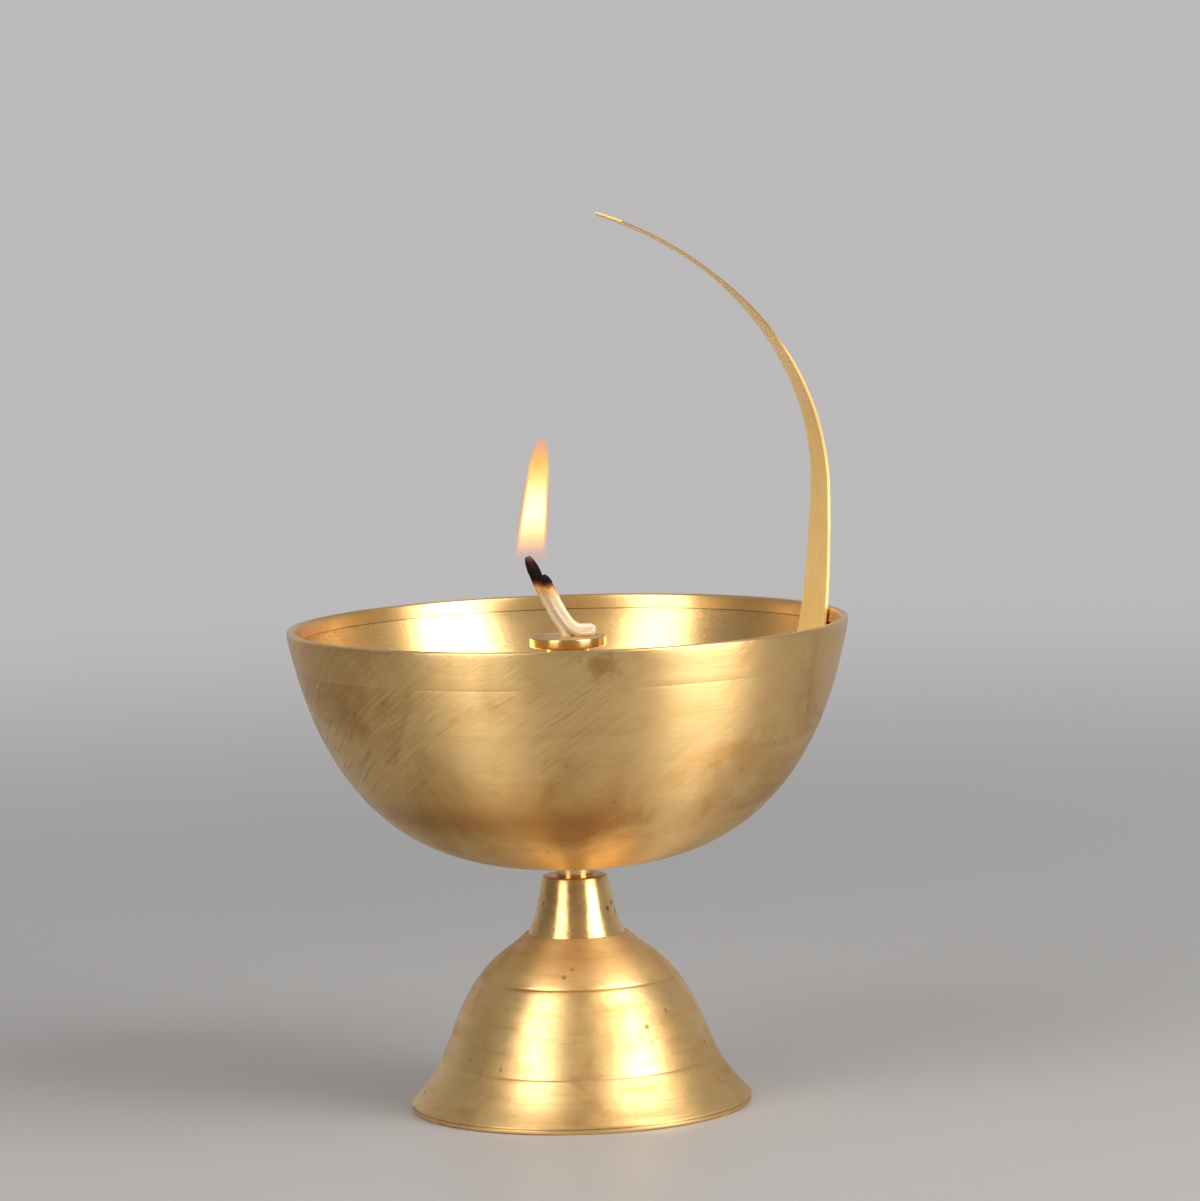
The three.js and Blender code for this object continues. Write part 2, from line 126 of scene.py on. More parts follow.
# Brass
BRASS = rgb(236, 196, 132)
BRASS_DARK = rgb(200, 152, 88)
BRASS_BROWN = rgb(168, 112, 58)
BRASS_PALE = rgb(246, 215, 144)
# A pale brass that paints light onto the handle's broad faces near the top
BRASS_PAINTED_LIGHT = rgb(252, 238, 206)
TARNISH = rgb(118, 76, 36)
# A dark brown that paints a reflection of dark surroundings onto the handle's upper edges
EDGE_PAINTED_REFLECTION = rgb(112, 84, 62)
LEAST_ROUGHNESS = 0.05
# The depth of its fine relief, in metres
RELIEF = 0.0002
# A quarter turn spreads highlights across the turning rings
ACROSS_RINGS = 0.25

# Blotches, browner clouds, specks and pores, as features a metre
BLOTCH_SCALE = 55.0
BROWN_TO_BLOTCH = 2.3
SPECK_SCALE = 420.0
SPECK_PATCH_SCALE = 160
PORE_SCALE = 900
# The noise values between which each of them sets in, and over which the roughness varies
BLOTCH_EDGE = (0.44, 0.68)
BROWN_EDGE = (0.52, 0.85)
SPECK_EDGE = (0.3, 0.08)
SPECK_PATCH_EDGE = (0.57, 0.68)
CLOUD_RANGE = (0.3, 0.7)
# What a speck adds to the roughness, and how deep it and the pores are as shares of the relief
SPECK_ROUGHER = 0.2
SPECK_DEPTH = 0.3
PORE_DEPTH = 0.06

# The turning rings' spacing, the wear bands a metre, and how fast both change round the axis
RING_SPACING = 0.0002
RING_DRIFT = 8.0
WEAR_BANDS = 230.0
WEAR_DRIFT = 26.0
WEAR_DEPTH = 0.0008
WEAR_EDGE = (0.5, 0.72)
# How much further than the spread the wear shifts the roughness
WEAR_ROUGHER = 5.5
# A scored line's width, its depth as a share of the relief, and how dark the painted shade in it is
SCORE_WIDTH = 0.00017
SCORE_DEPTH = 0.6
SCORE_PAINTED_SHADE = 0.75

# The bowl's brushed strokes: their slope, how far they turn its highlights, their width and length, and how
# they bow. They fade out at the back between two angles from the front, in radians.
STROKE_SLOPE = math.radians(30)
BROAD_STROKE_SLOPE = STROKE_SLOPE * 1.2
STROKE_PULL = 0.15
FINE_STROKE = (0.00026, 0.013)
BROAD_STROKE = (0.0009, 0.022)
STROKE_BOW = 0.012
STROKE_BOW_SCALE = 16
STROKE_SEAM = (3.0, 2.4)
BROAD_STROKE_SHARE = 0.8
# The stroke values between which brown sets in, or below zero pale brass, and the broad ones that scratch
STROKE_EDGE = (0.03, 0.2)
SCRATCH_EDGE = (0.006, 0.0)
# The relief of the strokes and of the wear on the bowl, in metres
STROKE_RELIEF = 0.0004
BOWL_WEAR_RELIEF = 0.0010

# The turned finishes. rise is 1 where the surface widens upwards and -1 where it narrows. spread is how far
# the roughness strays, ring_depth and waves are the relief of the turning rings and of the wear, dark_share
# and specks are how tarnished it is, and marks are heights of fine scored lines, darkened with painted shade.
FINISHES = {
    "bell_brass": dict(
        roughness=0.42, spread=0.08, rise=-1, ring_depth=0.16, anisotropy=0.5, dark_share=0.5, specks=0.7,
        marks=(FOOT_BEAD,), dull_above=BELL_DULL_ABOVE),
    "bowl_inside": dict(
        roughness=0.27, spread=0.012, rise=1, ring_depth=0.08, anisotropy=0.3, dark_share=0.25, specks=0.0,
        marks=(RIM_HEIGHT - RIM_BAND,), waves=0.02),
    "rim_brass": dict(
        roughness=0.34, spread=0.03, rise=1, ring_depth=0.06, anisotropy=0.7, dark_share=0.25, specks=0.0,
        waves=0.03),
    "neck_brass": dict(
        roughness=0.25, spread=0.05, rise=-1, ring_depth=0.08, anisotropy=0.4, dark_share=0.8, specks=0.8),
    "bright_brass": dict(
        roughness=0.14, spread=0.03, rise=-1, ring_depth=0.05, anisotropy=0.3, dark_share=0.15, specks=0.2),
    "disc_edge": dict(
        roughness=0.24, spread=0.03, rise=-1, ring_depth=0.05, anisotropy=0.8, dark_share=0.15, specks=0.2),
    "disc_top": dict(
        roughness=0.42, spread=0.05, rise=-1, ring_depth=0.12, anisotropy=0.5, dark_share=0.3, specks=0.4),
}

# The handle's rounded corners, the reach within which its rivet holes lie, and the steps between its stations
STRIP_CORNER = 0.00012
STRIP_CORNER_STEPS = 2
STRIP_HOLES_REACH = 0.002
STRIP_STEPS = 5
# An edge through the strip's thickness is level to this, and shorter than this share of the root's half width
STRIP_LEVEL = 2e-5
STRIP_EDGE_SHARE = 0.125
STRIP_FACES_SIDE = 0.8
# The strip is hammered thinner and turns a little about its own line between these heights
STRIP_THINS = (0.118, 0.150)
STRIP_TIP_THICKNESS = 0.00038
STRIP_TWIST = math.radians(12)
# It grows rougher, and paler with painted light, towards the height where its edges take a painted dark
# reflection. They stay bright at its filed tip, which starts this far from the axis.
STRIP_DARK_EDGE_FROM = 0.132
STRIP_ROUGH_BELOW = 0.025
STRIP_PAINTED_LIGHT_BELOW = 0.022
STRIP_PAINTED_LIGHT_ABOVE = 0.008
STRIP_DARK_EDGE_FADE = 0.006
STRIP_FILED_FROM = 0.0116
STRIP_FILED_FADE = 0.0004
# Its brushed grain, as lines a metre across and along it
STRIP_GRAIN = (1300.0, 24.0)
STRIP_ROUGHNESS = (0.56, 0.64)
STRIP_TOP_ROUGHER = 0.25
STRIP_ANISOTROPY = 0.7

# The strands' routes, as x, y and height in millimetres. Heights are over a strand that lies on the disc.
WICK_ROUTE = [
    (0, 0, -2.5),
    (-0.1, 0, -0.9),
    (-0.65, 0, 0.5),
    (-1.75, 0, 2.2),
    (-3.4, 0, 5.5),
    (-4.65, 0, 8.2),
    (-5.55, 0, 10.4),
    (-6.7, 0, 13.2),
]
SIDE_STRAND_ROUTE = [
    (5.0, -1.0, 0),
    (3.4, -1.15, 0),
    (1.9, -1.25, 0.1),
    (0.6, -1.3, 0.9),
    (-0.7, -1.2, 2.6),
    (-2.1, -1.05, 5.2),
    (-3.35, -1.0, 8.0),
    (-4.1, -1.0, 9.9),
]
# The length over which each end of a strand draws in, and the share of its thickness that is left
WICK_ENDS = ((0.0006, 0.8), (0.0034, 0.45))
SIDE_STRAND_ENDS = ((0.0011, 0.5), (0.0020, 0.42))
STRAND_DRAW_CURVE = 2.5
STRAND_RADIUS = 0.85 * MM
STRAND_LIFT = 0.3 * MM
STRAND_SIDES = 28
STRAND_STEPS = 14
# Shares of the radius: the fluffed cotton's reach, its twisted ridges and its lumps
STRAND_FLUFF = 1.30
RIDGE_SHARE = 0.035
LUMP_SHARE = 0.06
FIBRE_RIDGES = 5
# Radians a metre, and lumps a metre, small and large
STRAND_TWIST = 900.0
SMALL_LUMPS = 1400
LARGE_LUMPS = 500
LARGE_LUMP_WEIGHT = 0.6
# The fibres' fineness round and along a strand, their slant, and how far the char's edge wanders, in metres
FIBRES_AROUND = 900.0
FIBRES_ALONG = 9.0
FIBRE_SLANT = 60.0
CHAR_WANDERS = 0.0022

# Cotton's colours, and the height at which it turns to char
COTTON_PALE = rgb(240, 225, 196)
COTTON_SHADED = rgb(204, 180, 138)
COTTON_OILED = rgb(236, 205, 150)
COTTON_SINGED = rgb(228, 168, 92)
COTTON_SCORCHED = rgb(120, 62, 26)
CHAR = rgb(24, 16, 12)
CHAR_ASHY = rgb(62, 36, 22)
CHAR_HEIGHT = 0.0934
SINGED_SPAN = (CHAR_HEIGHT - 0.0030, CHAR_HEIGHT - 0.0004)
SCORCHED_SPAN = (CHAR_HEIGHT - 0.0009, CHAR_HEIGHT)
CHAR_SPAN = (CHAR_HEIGHT - 0.0001, CHAR_HEIGHT + 0.0006)
ASHY_SPAN = (CHAR_HEIGHT + 0.0024, CHAR_HEIGHT + 0.0048)

# The pressed fibre of the seal
FIBRE_LIGHT = rgb(98, 66, 46)
FIBRE_DARK = rgb(62, 42, 32)

# The flame's middle line, and its half width at shares of its height
FLAME_FOOT = (-0.0064, 0.0, 0.0970)
FLAME_TIP = (-0.0034, 0.0, 0.1208)
FLAME_WIDTHS = [(0.0, 0.0028), (0.22, 0.0028), (0.5, 0.0024), (0.8, 0.0017), (0.93, 0.0011), (1.0, 0.0)]
FLAME_SIDES = 40
FLAME_STEPS = 48
FLAME_WIDTH_STEPS = 8
FLAME_LEAST_HALF = 0.00002
# How fast the foot rounds out, and how much an inner skin is shortened for each share that it is narrower
FLAME_ROUNDS_OUT = 25
FLAME_FOOT_SHARE = 0.02
FLAME_SHORTENING = 0.35
# The heights between which the flame changes colour, dims and thins out
FLAME_WHITENS = (FLAME_FOOT[2] + 0.003, FLAME_FOOT[2] + 0.009)
FLAME_YELLOWS = (FLAME_TIP[2] - 0.0135, FLAME_TIP[2] - 0.006)
FLAME_REDDENS = (FLAME_TIP[2] - 0.008, FLAME_TIP[2] - 0.001)
FLAME_DIMS = (FLAME_TIP[2] - 0.0135, FLAME_TIP[2] - 0.005)
FLAME_THINS = (FLAME_TIP[2], FLAME_TIP[2] - 0.008)
FLAME_YELLOW = rgb(255, 206, 112)
FLAME_RED = rgb(250, 158, 104)
FLAME_TIP_STRENGTH = 1.1
FLAME_WANDERS = 0.0012
FLAME_CLEAR_SHARE = 0.2
# For each skin: its share of the width, its colours low and high up, how solid and how bright it is, and the
# height over which it clears towards its foot
FLAME_SHELLS = [
    (1.00, rgb(236, 190, 176), rgb(246, 150, 104), 0.20, 0.9, 0.0022),
    (0.93, rgb(240, 184, 150), rgb(255, 186, 104), 0.30, 1.1, 0.0045),
    (0.85, rgb(250, 180, 104), rgb(255, 228, 140), 0.45, 1.6, 0.0070),
    (0.75, rgb(255, 200, 104), rgb(255, 250, 215), 0.92, 3.0, 0.0100),
]

# The floor and the surroundings
BACKDROP_COLOUR = rgb(186, 184, 185)
LEFT_COLOUR = rgb(124, 121, 120)
RIGHT_COLOUR = rgb(166, 163, 161)
OVERHEAD_COLOUR = rgb(158, 157, 157)
# Where these colours melt into each other, as parts of a direction
LEFT_TO_RIGHT = (-0.5, 0.5)
SIDES_TO_BACK = (0.1, 0.9)
LEVEL_TO_ABOVE = (0.12, 0.6)
FLOOR_COLOUR = rgb(166, 164, 162)
FLOOR_MOTTLE = 1.08
FLOOR_MELTS = (0.16, 0.9)
FLOOR_SIZE = 30.0

# The soft lamps and the point they aim at. For each: its azimuth from the camera towards the right and its
# elevation in degrees, its distance, its width and height, and its power in watts
LAMPS_AIM = Vector((0, 0, 0.07))
LAMPS = {
    "box_left": (-43, 26, 0.9, 0.42, 1.0, 5.8),
    "box_right": (55, 26, 0.9, 0.52, 1.0, 10.6),
}


def camera():
    pitch, yaw, roll = (math.radians(a) for a in (CAMERA_PITCH, CAMERA_YAW, CAMERA_ROLL))
    ahead = Vector((math.sin(yaw) * math.cos(pitch), math.cos(yaw) * math.cos(pitch), math.sin(pitch)))
    level = Vector((math.cos(yaw), -math.sin(yaw), 0))
    above = level.cross(ahead)
    right = math.cos(roll) * level + math.sin(roll) * above
    up = -math.sin(roll) * level + math.cos(roll) * above
    data = bpy.data.cameras.new("camera")
    data.sensor_fit = "HORIZONTAL"
    data.sensor_width = CAMERA_FRAME
    data.lens = CAMERA_LENS
    data.clip_start = CAMERA_NEAR
    data.clip_end = CAMERA_FAR
    eye = bpy.data.objects.new("camera", data)
    turn = Matrix((right, up, -ahead)).transposed().to_4x4()
    eye.matrix_world = Matrix.Translation(CAMERA_PLACE) @ turn
    bpy.context.scene.collection.objects.link(eye)
    bpy.context.scene.camera = eye


# Lines

def angles(count):
    """Even steps round a circle, in radians."""
    return [2 * math.pi * i / count for i in range(count)]


def ahead_at(line, i):
    """The way a line runs at its point i."""
    return line[min(i + 1, len(line) - 1)] - line[max(i - 1, 0)]


def bend_between(before, a, b, after, t):
    """A point of the centripetal spline from a to b."""
    spans = [max((q - p).length, LEAST_SPAN) ** 0.5 for p, q in ((before, a), (a, b), (b, after))]
    slope_a = (a - before) / spans[0] - (b - before) / (spans[0] + spans[1]) + (b - a) / spans[1]
    slope_b = (b - a) / spans[1] - (after - a) / (spans[1] + spans[2]) + (after - b) / spans[2]
    slope_a *= spans[1]
    slope_b *= spans[1]
    square, cube = t * t, t * t * t
    return ((2 * cube - 3 * square + 1) * a + (cube - 2 * square + t) * slope_a
            + (3 * square - 2 * cube) * b + (cube - square) * slope_b)


def smoothed(points, closed, steps=SMOOTH_STEPS, sharp_angle=SHARP_ANGLE):
    """The line with its gentle bends rounded by a spline and its sharp corners kept."""
    count = len(points)

    def sharp(i):
        if not closed and i in (0, count - 1):
            return True
        before = points[i] - points[i - 1]
        after = points[(i + 1) % count] - points[i]
        return min(before.length, after.length) < NO_LENGTH or before.angle(after) > sharp_angle

    result = []
    for i in range(count if closed else count - 1):
        j = (i + 1) % count
        a, b = points[i], points[j]
        if sharp(i) and sharp(j):
            result.append(a)
            continue
        before = a - (b - a) if sharp(i) else points[i - 1]
        after = b + (b - a) if sharp(j) else points[(j + 1) % count]
        result += [bend_between(before, a, b, after, k / steps) for k in range(steps)]
    if not closed:
        result.append(points[-1])
    return result


# Meshes

def new_piece(name, vertices, faces, material, uvs=None):
    """A smooth-shaded mesh with its hard edges kept. uvs gives each face's corners."""
    mesh = bpy.data.meshes.new(name)
    mesh.from_pydata([tuple(v) for v in vertices], [], faces)
    if uvs is not None:
        layer = mesh.uv_layers.new(name="surface")
        layer.data.foreach_set("uv", np.array(uvs, np.float32).ravel())
    mesh.polygons.foreach_set("use_smooth", [True] * len(mesh.polygons))
    mesh.set_sharp_from_angle(angle=SHARP_ANGLE)
    mesh.materials.append(material)
    piece = bpy.data.objects.new(name, mesh)
    bpy.context.scene.collection.objects.link(piece)
    return piece


def outward(piece):
    """Turns a closed mesh's faces outward."""
    shape = bmesh.new()
    shape.from_mesh(piece.data)
    bmesh.ops.recalc_face_normals(shape, faces=shape.faces)
    shape.to_mesh(piece.data)
    shape.free()


def seated(piece, node):
    """Puts a fine piece in its CAD node's place."""
    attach(piece, BODY_OF[node])
    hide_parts(node)
    return piece


def repaint(piece, material, chosen):
    """Gives the faces that are chosen by their middle and normal another material."""
    piece.data.materials.append(material)
    last = len(piece.data.materials) - 1
    for face in piece.data.polygons:
        if chosen(face.center, face.normal):
            face.material_index = last


def faces_axis(centre, normal):
    return centre.x * normal.x + centre.y * normal.y < 0


def on_rim(centre, normal):
    """Whether a face belongs to the bowl's rim: its top, or the band inside."""
    return centre.z > RIM_HEIGHT - RIM_BAND and (faces_axis(centre, normal) or normal.z > RIM_FACES_UP)


def swept(name, sections, material):
    """A closed skin over a row of sections with the same number of points, and flat ends."""
    count = len(sections[0])
    vertices = [point for section in sections for point in section]
    faces, corners = [], []
    along = 0.0
    for k in range(len(sections) - 1):
        step = (sum(sections[k + 1], Vector()) - sum(sections[k], Vector())).length / count
        around = 0.0
        for i in range(count):
            j = (i + 1) % count
            width = (sections[k][j] - sections[k][i]).length
            faces.append([k * count + i, k * count + j, (k + 1) * count + j, (k + 1) * count + i])
            corners += [(around, along), (around + width, along), (around + width, along + step),
                        (around, along + step)]
            around += width
        along += step
    for end in (range(count), reversed(range(len(vertices) - count, len(vertices)))):
        faces.append(list(end))
        corners += [(0.0, 0.0)] * count
    piece = new_piece(name, vertices, faces, material, corners)
    outward(piece)
    return piece


def turned(name, profile, closed, material):
    """A body of revolution about the lamp's axis, closed on itself or at the axis."""
    vertices, rings = [], []
    for radius, height in profile:
        first = len(vertices)
        if radius < ON_AXIS:
            vertices.append((0, 0, height))
        else:
            for a in angles(TURNED_SEGMENTS):
                vertices.append((radius * math.cos(a), radius * math.sin(a), height))
        rings.append(range(first, len(vertices)))
    faces = []
    for low, high in zip(rings, rings[1:] + (rings[:1] if closed else [])):
        for i in range(TURNED_SEGMENTS):
            j = (i + 1) % TURNED_SEGMENTS
            face = [low[i % len(low)], low[j % len(low)], high[j % len(high)], high[i % len(high)]]
            faces.append([v for k, v in enumerate(face) if v != face[k - 1]])
    piece = new_piece(name, vertices, faces, material)
    outward(piece)
    return piece


def profile_of(node):
    """A turned node's profile as [radius, height] points in order, and whether it closes on itself."""
    mesh = frame["nodes"][node].data
    keys, turns = [], {}
    for v in mesh.vertices:
        key = (round(math.hypot(v.co.x, v.co.y), PROFILE_DECIMALS), round(v.co.z, PROFILE_DECIMALS))
        keys.append(key)
        turns.setdefault(key, set()).add(round(math.atan2(v.co.y, v.co.x), ANGLE_DECIMALS))
    most = max(len(t) for t in turns.values())
    rings = {k for k, t in turns.items() if len(t) > most / 2 or k[0] < ON_AXIS}
    links = {k: set() for k in rings}
    for polygon in mesh.polygons:
        touched = {keys[i] for i in polygon.vertices}
        if len(touched) == 2 and touched <= rings:
            a, b = touched
            links[a].add(b)
            links[b].add(a)
    ends = sorted(k for k in rings if len(links[k]) == 1)
    path = [ends[0] if ends else min(rings)]
    while True:
        onward = [k for k in sorted(links[path[-1]]) if k not in path]
        if not onward:
            break
        path.append(onward[0])
    return [Vector(p) for p in path], not ends


def softened(points, share):
    """The profile with its scored rings, which are single points, drawn part of the way out."""
    result = list(points)
    for i in range(1, len(points) - 1):
        a, b, c = points[i - 1:i + 2]
        middle = (a + c) / 2
        if (c - a).length < RING_WIDTH and (b - middle).length < RING_WIDTH / 2:
            result[i] = b.lerp(middle, share)
    return result


def thickened(points, wider, lower):
    """The profile with its flange made a little wider, and thicker on its underside."""
    widest = max(p.x for p in points)
    flange = [p.y for p in points if p.x > widest * FLANGE_SHARE]
    middle = (min(flange) + max(flange)) / 2
    result = []
    for p in points:
        out = wider if p.x > widest * FLANGE_EDGE_SHARE else 0.0
        down = lower if p.x > widest * FLANGE_SHARE and p.y < middle else 0.0
        result.append(Vector((p.x + out, p.y - down)))
    return result


def fine_turned(node, name, material, soft_rings=0.0, flange=(0.0, 0.0)):
    """A turned CAD node again, with smooth curves in place of facets."""
    points, closed = profile_of(node)
    points = thickened(softened(points, soft_rings), *flange)
    return seated(turned(name, smoothed(points, closed), closed, material), node)


def smooth_copy(node, name, material, eased_by=0.0):
    """A CAD node again, joined into one skin, shaded smooth, and with its edges eased."""
    source = frame["nodes"][node].data
    places, vertices, numbers = {}, [], []
    for v in source.vertices:
        key = tuple(round(c, SKIN_DECIMALS) for c in v.co)
        if key not in places:
            places[key] = len(vertices)
            vertices.append(v.co)
        numbers.append(places[key])
    faces = [[numbers[i] for i in face.vertices] for face in source.polygons]
    piece = new_piece(name, vertices, [f for f in faces if len(set(f)) == len(f)], material)
    if eased_by:
        eased = piece.modifiers.new("eased", "BEVEL")
        eased.width = eased_by
        eased.segments = EASED_SEGMENTS
        eased.limit_method = "ANGLE"
        eased.angle_limit = SHARP_ANGLE
    return seated(piece, node)


# Materials

class Nodes:
    """A short way to write a material's nodes, or a world's."""

    def __init__(self, name, tree=None):
        self.material = None if tree else bpy.data.materials.new(name)
        if not tree:
            self.material.use_nodes = True
        self.tree = tree or self.material.node_tree
        self.tree.nodes.clear()
        self.coordinates = self.add("ShaderNodeTexCoord")
        self.place = self.coordinates.outputs["Object"]

    def add(self, kind, sockets=(), **settings):
        made = self.tree.nodes.new(kind)
        for key, value in settings.items():
            setattr(made, key, value)
        for key, value in dict(sockets).items():
            self.put(value, made.inputs[key])
        return made

    def put(self, value, socket):
        """Links a value that comes from another node, or writes a plain one."""
        if isinstance(value, bpy.types.NodeSocket):
            self.tree.links.new(value, socket)
        else:
            socket.default_value = value

    def math(self, operation, a, b=0.0):
        return self.add("ShaderNodeMath", {0: a, 1: b}, operation=operation).outputs[0]

    def times(self, *values):
        result = values[0]
        for value in values[1:]:
            result = self.math("MULTIPLY", result, value)
        return result

    def plus(self, *values):
        result = values[0]
        for value in values[1:]:
            result = self.math("ADD", result, value)
        return result

    def parts(self, vector):
        """A vector's three numbers."""
        return self.add("ShaderNodeSeparateXYZ", {0: vector}).outputs

    def height(self):
        return self.parts(self.place)[2]

    def around_and_along(self):
        """A swept surface's own coordinates, in metres: round its section, and along its line."""
        return self.parts(self.coordinates.outputs["UV"])[:2]

    def vector(self, x=0.0, y=0.0, z=0.0):
        return self.add("ShaderNodeCombineXYZ", {0: x, 1: y, 2: z}).outputs[0]

    def radius(self):
        """The distance from the lamp's axis."""
        x, y = self.parts(self.place)[:2]
        return self.add("ShaderNodeVectorMath", {0: self.vector(x, y)}, operation="LENGTH").outputs["Value"]

    def noise(self, vector, scale=1.0, detail=2.0, roughness=0.5, distortion=0.0):
        sockets = {"Vector": vector, "Scale": scale, "Detail": detail, "Roughness": roughness,
                   "Distortion": distortion}
        return self.add("ShaderNodeTexNoise", sockets).outputs["Fac"]

    def about_zero(self, value):
        """A noise's value, which lies about a half, moved to lie about nothing."""
        return self.plus(value, -0.5)

    def span(self, value, low, high, to_low=0.0, to_high=1.0):
        """The value's way from low to high, eased at both ends."""
        sockets = {"Value": value, "From Min": low, "From Max": high, "To Min": to_low, "To Max": to_high}
        return self.add("ShaderNodeMapRange", sockets, interpolation_type="SMOOTHSTEP").outputs[0]

    def band(self, value, middle, reach):
        """One at the middle, fading to nothing at the reach on both sides."""
        return self.span(self.math("ABSOLUTE", self.plus(value, -middle)), reach, 0.0)

    def mix(self, share, a, b):
        """Colour a with a share of colour b."""
        made = self.add("ShaderNodeMix", data_type="RGBA")
        for name, kind, value in (("Factor", "VALUE", share), ("A", "RGBA", a), ("B", "RGBA", b)):
            self.put(value, next(s for s in made.inputs if s.name == name and s.type == kind))
        return next(s for s in made.outputs if s.type == "RGBA")

    def bump(self, height, strength, normal=None, distance=RELIEF):
        sockets = {"Height": height, "Strength": strength, "Distance": distance}
        if normal is not None:
            sockets["Normal"] = normal
        return self.add("ShaderNodeBump", sockets).outputs[0]

    def finish(self, shader, target="ShaderNodeOutputMaterial"):
        self.add(target, {"Surface": shader.outputs[0]})
        return self.material


def aged(n, dark_share, specks, blotch_scale=BLOTCH_SCALE):
    """The colour of brass with soft darker blotches, browner clouds and small tarnished specks."""
    clouds = n.noise(n.place, blotch_scale, detail=5.0, roughness=0.62, distortion=0.7)
    colour = n.mix(n.times(n.span(clouds, *BLOTCH_EDGE), dark_share), BRASS, BRASS_DARK)
    brown = n.noise(n.place, blotch_scale * BROWN_TO_BLOTCH, detail=3.0, roughness=0.55, distortion=0.6)
    colour = n.mix(n.times(n.span(brown, *BROWN_EDGE), dark_share), colour, BRASS_BROWN)
    spots = n.add("ShaderNodeTexVoronoi", {"Vector": n.place, "Scale": SPECK_SCALE}, feature="F1")
    seldom = n.span(n.noise(n.place, SPECK_PATCH_SCALE), *SPECK_PATCH_EDGE)
    speck = n.times(n.span(spots.outputs["Distance"], *SPECK_EDGE), seldom, specks)
    return n.mix(speck, colour, TARNISH), clouds, speck


def turning(n, rise):
    """The fine rings that a lathe leaves, as a height."""
    x, y, z = n.parts(n.place)
    along = n.times(n.plus(z, n.times(n.radius(), rise)), 1 / RING_SPACING)
    return n.noise(n.vector(n.times(x, RING_DRIFT), n.times(y, RING_DRIFT), along), detail=3.0, roughness=0.7)


def wear(n, rise):
    """Uneven bands round the axis, where the turning tool and the polisher bore more or less."""
    x, y, z = n.parts(n.place)
    along = n.plus(z, n.times(n.radius(), rise))
    bands = n.vector(n.times(x, WEAR_DRIFT), n.times(y, WEAR_DRIFT), n.times(along, WEAR_BANDS))
    return n.noise(bands, detail=5.0, roughness=0.68, distortion=0.3)


def brushing(n, slope, width, length):
    """Hand-brushed strokes round the lamp's front that climb to the right, as a height about zero."""
    x, y, z = n.parts(n.place)
    angle = n.math("ARCTAN2", x, n.times(y, -1.0))
    bow = n.times(n.noise(n.place, STROKE_BOW_SCALE), STROKE_BOW)
    round_way = n.times(angle, n.radius())
    across = n.plus(n.times(z, math.cos(slope)), n.times(round_way, -math.sin(slope)), bow)
    along = n.plus(n.times(z, math.sin(slope)), n.times(round_way, math.cos(slope)))
    drawn_out = n.vector(n.times(across, 1 / width), n.times(along, 1 / length))
    strokes = n.noise(drawn_out, detail=3.0, roughness=0.75)
    return n.times(n.about_zero(strokes), n.span(n.math("ABSOLUTE", angle), *STROKE_SEAM))


def metal(n, colour, rough, normal, anisotropy, turn=ACROSS_RINGS, tangent=None):
    """Bare metal. turn is the highlights' direction, in turns from the tangent, which runs round the axis."""
    if tangent is None:
        tangent = n.add("ShaderNodeTangent", direction_type="RADIAL", axis="Z").outputs[0]
    return n.finish(n.add("ShaderNodeBsdfPrincipled", {
        "Base Color": colour, "Metallic": 1.0, "Roughness": n.math("MAXIMUM", rough, LEAST_ROUGHNESS),
        "Anisotropic": anisotropy, "Anisotropic Rotation": turn, "Normal": normal, "Tangent": tangent,
    }))


def turned_brass(name, roughness, spread, rise, ring_depth, anisotropy, dark_share, specks, marks=(),
                 dull_above=None, waves=0.08):
    """Brass as the lathe left it, with painted shade in its scored lines."""
    n = Nodes(name)
    z = n.height()
    colour, clouds, speck = aged(n, dark_share, specks)
    rings, worn = turning(n, rise), wear(n, rise)
    colour = n.mix(n.times(n.span(worn, *WEAR_EDGE), dark_share), colour, BRASS_DARK)
    rough = n.plus(n.span(clouds, *CLOUD_RANGE, roughness - spread, roughness + spread),
                   n.times(n.about_zero(rings), spread), n.times(n.about_zero(worn), spread * WEAR_ROUGHER),
                   n.times(speck, SPECK_ROUGHER))
    if dull_above is not None:
        rough = n.plus(rough, n.span(z, dull_above, dull_above + DULL_FADE, to_high=DULL_ROUGHER))
    normal = n.bump(rings, ring_depth)
    normal = n.bump(worn, waves, normal, WEAR_DEPTH)
    for height in marks:
        line = n.band(z, height, SCORE_WIDTH)
        normal = n.bump(line, -SCORE_DEPTH, normal)
        # A scored line is darkened towards the tarnish colour: painted shade in its groove.
        colour = n.mix(n.times(line, SCORE_PAINTED_SHADE), colour, TARNISH)
    normal = n.bump(n.noise(n.place, PORE_SCALE, detail=3.0, roughness=0.6), PORE_DEPTH, normal)
    normal = n.bump(n.times(speck, -1.0), SPECK_DEPTH, normal)
    return metal(n, colour, rough, normal, anisotropy)


